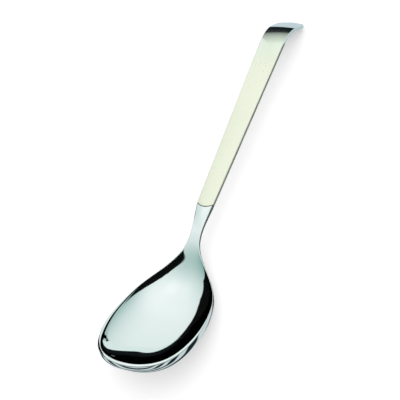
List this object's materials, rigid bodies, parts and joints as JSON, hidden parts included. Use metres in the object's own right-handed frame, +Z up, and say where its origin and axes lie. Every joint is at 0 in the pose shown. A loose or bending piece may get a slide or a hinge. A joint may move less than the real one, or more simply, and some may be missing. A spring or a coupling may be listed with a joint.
{
  "type": "buffet serving spoon",
  "caption": "Buffet serving spoon with a deep polished bowl and a hollow satin handle whose end bends back into a hook.",
  "frame": {"origin": "centre of the footprint box, on the surface that the spoon rests on", "axes": "+X from the bowl's tip to the hook, +Y across the spoon to the left when looking from bowl to hook, +Z up; the spoon lies bowl up, on the bottom of its bowl and the end of its hook"},
  "size_m": [0.3284, 0.0666, 0.0408],
  "materials": {
    "polished_steel": "mirror-polished stainless steel",
    "satin_front": "satin stainless steel, polished round the hook",
    "satin_back": "satin stainless steel, polished along the edges",
    "solder": "ground silver-grey solder",
    "cement": "matte handle cement, hidden",
    "seal": "dark sealing line"
  },
  "bodies": {
    "root": {"bowl_and_neck": "polished_steel", "handle_front_shell": "satin_front", "handle_back_shell": "satin_back", "seam_solder": "solder", "tang_cement": "cement", "joint_seal": "seal"}
  },
  "joints": []
}
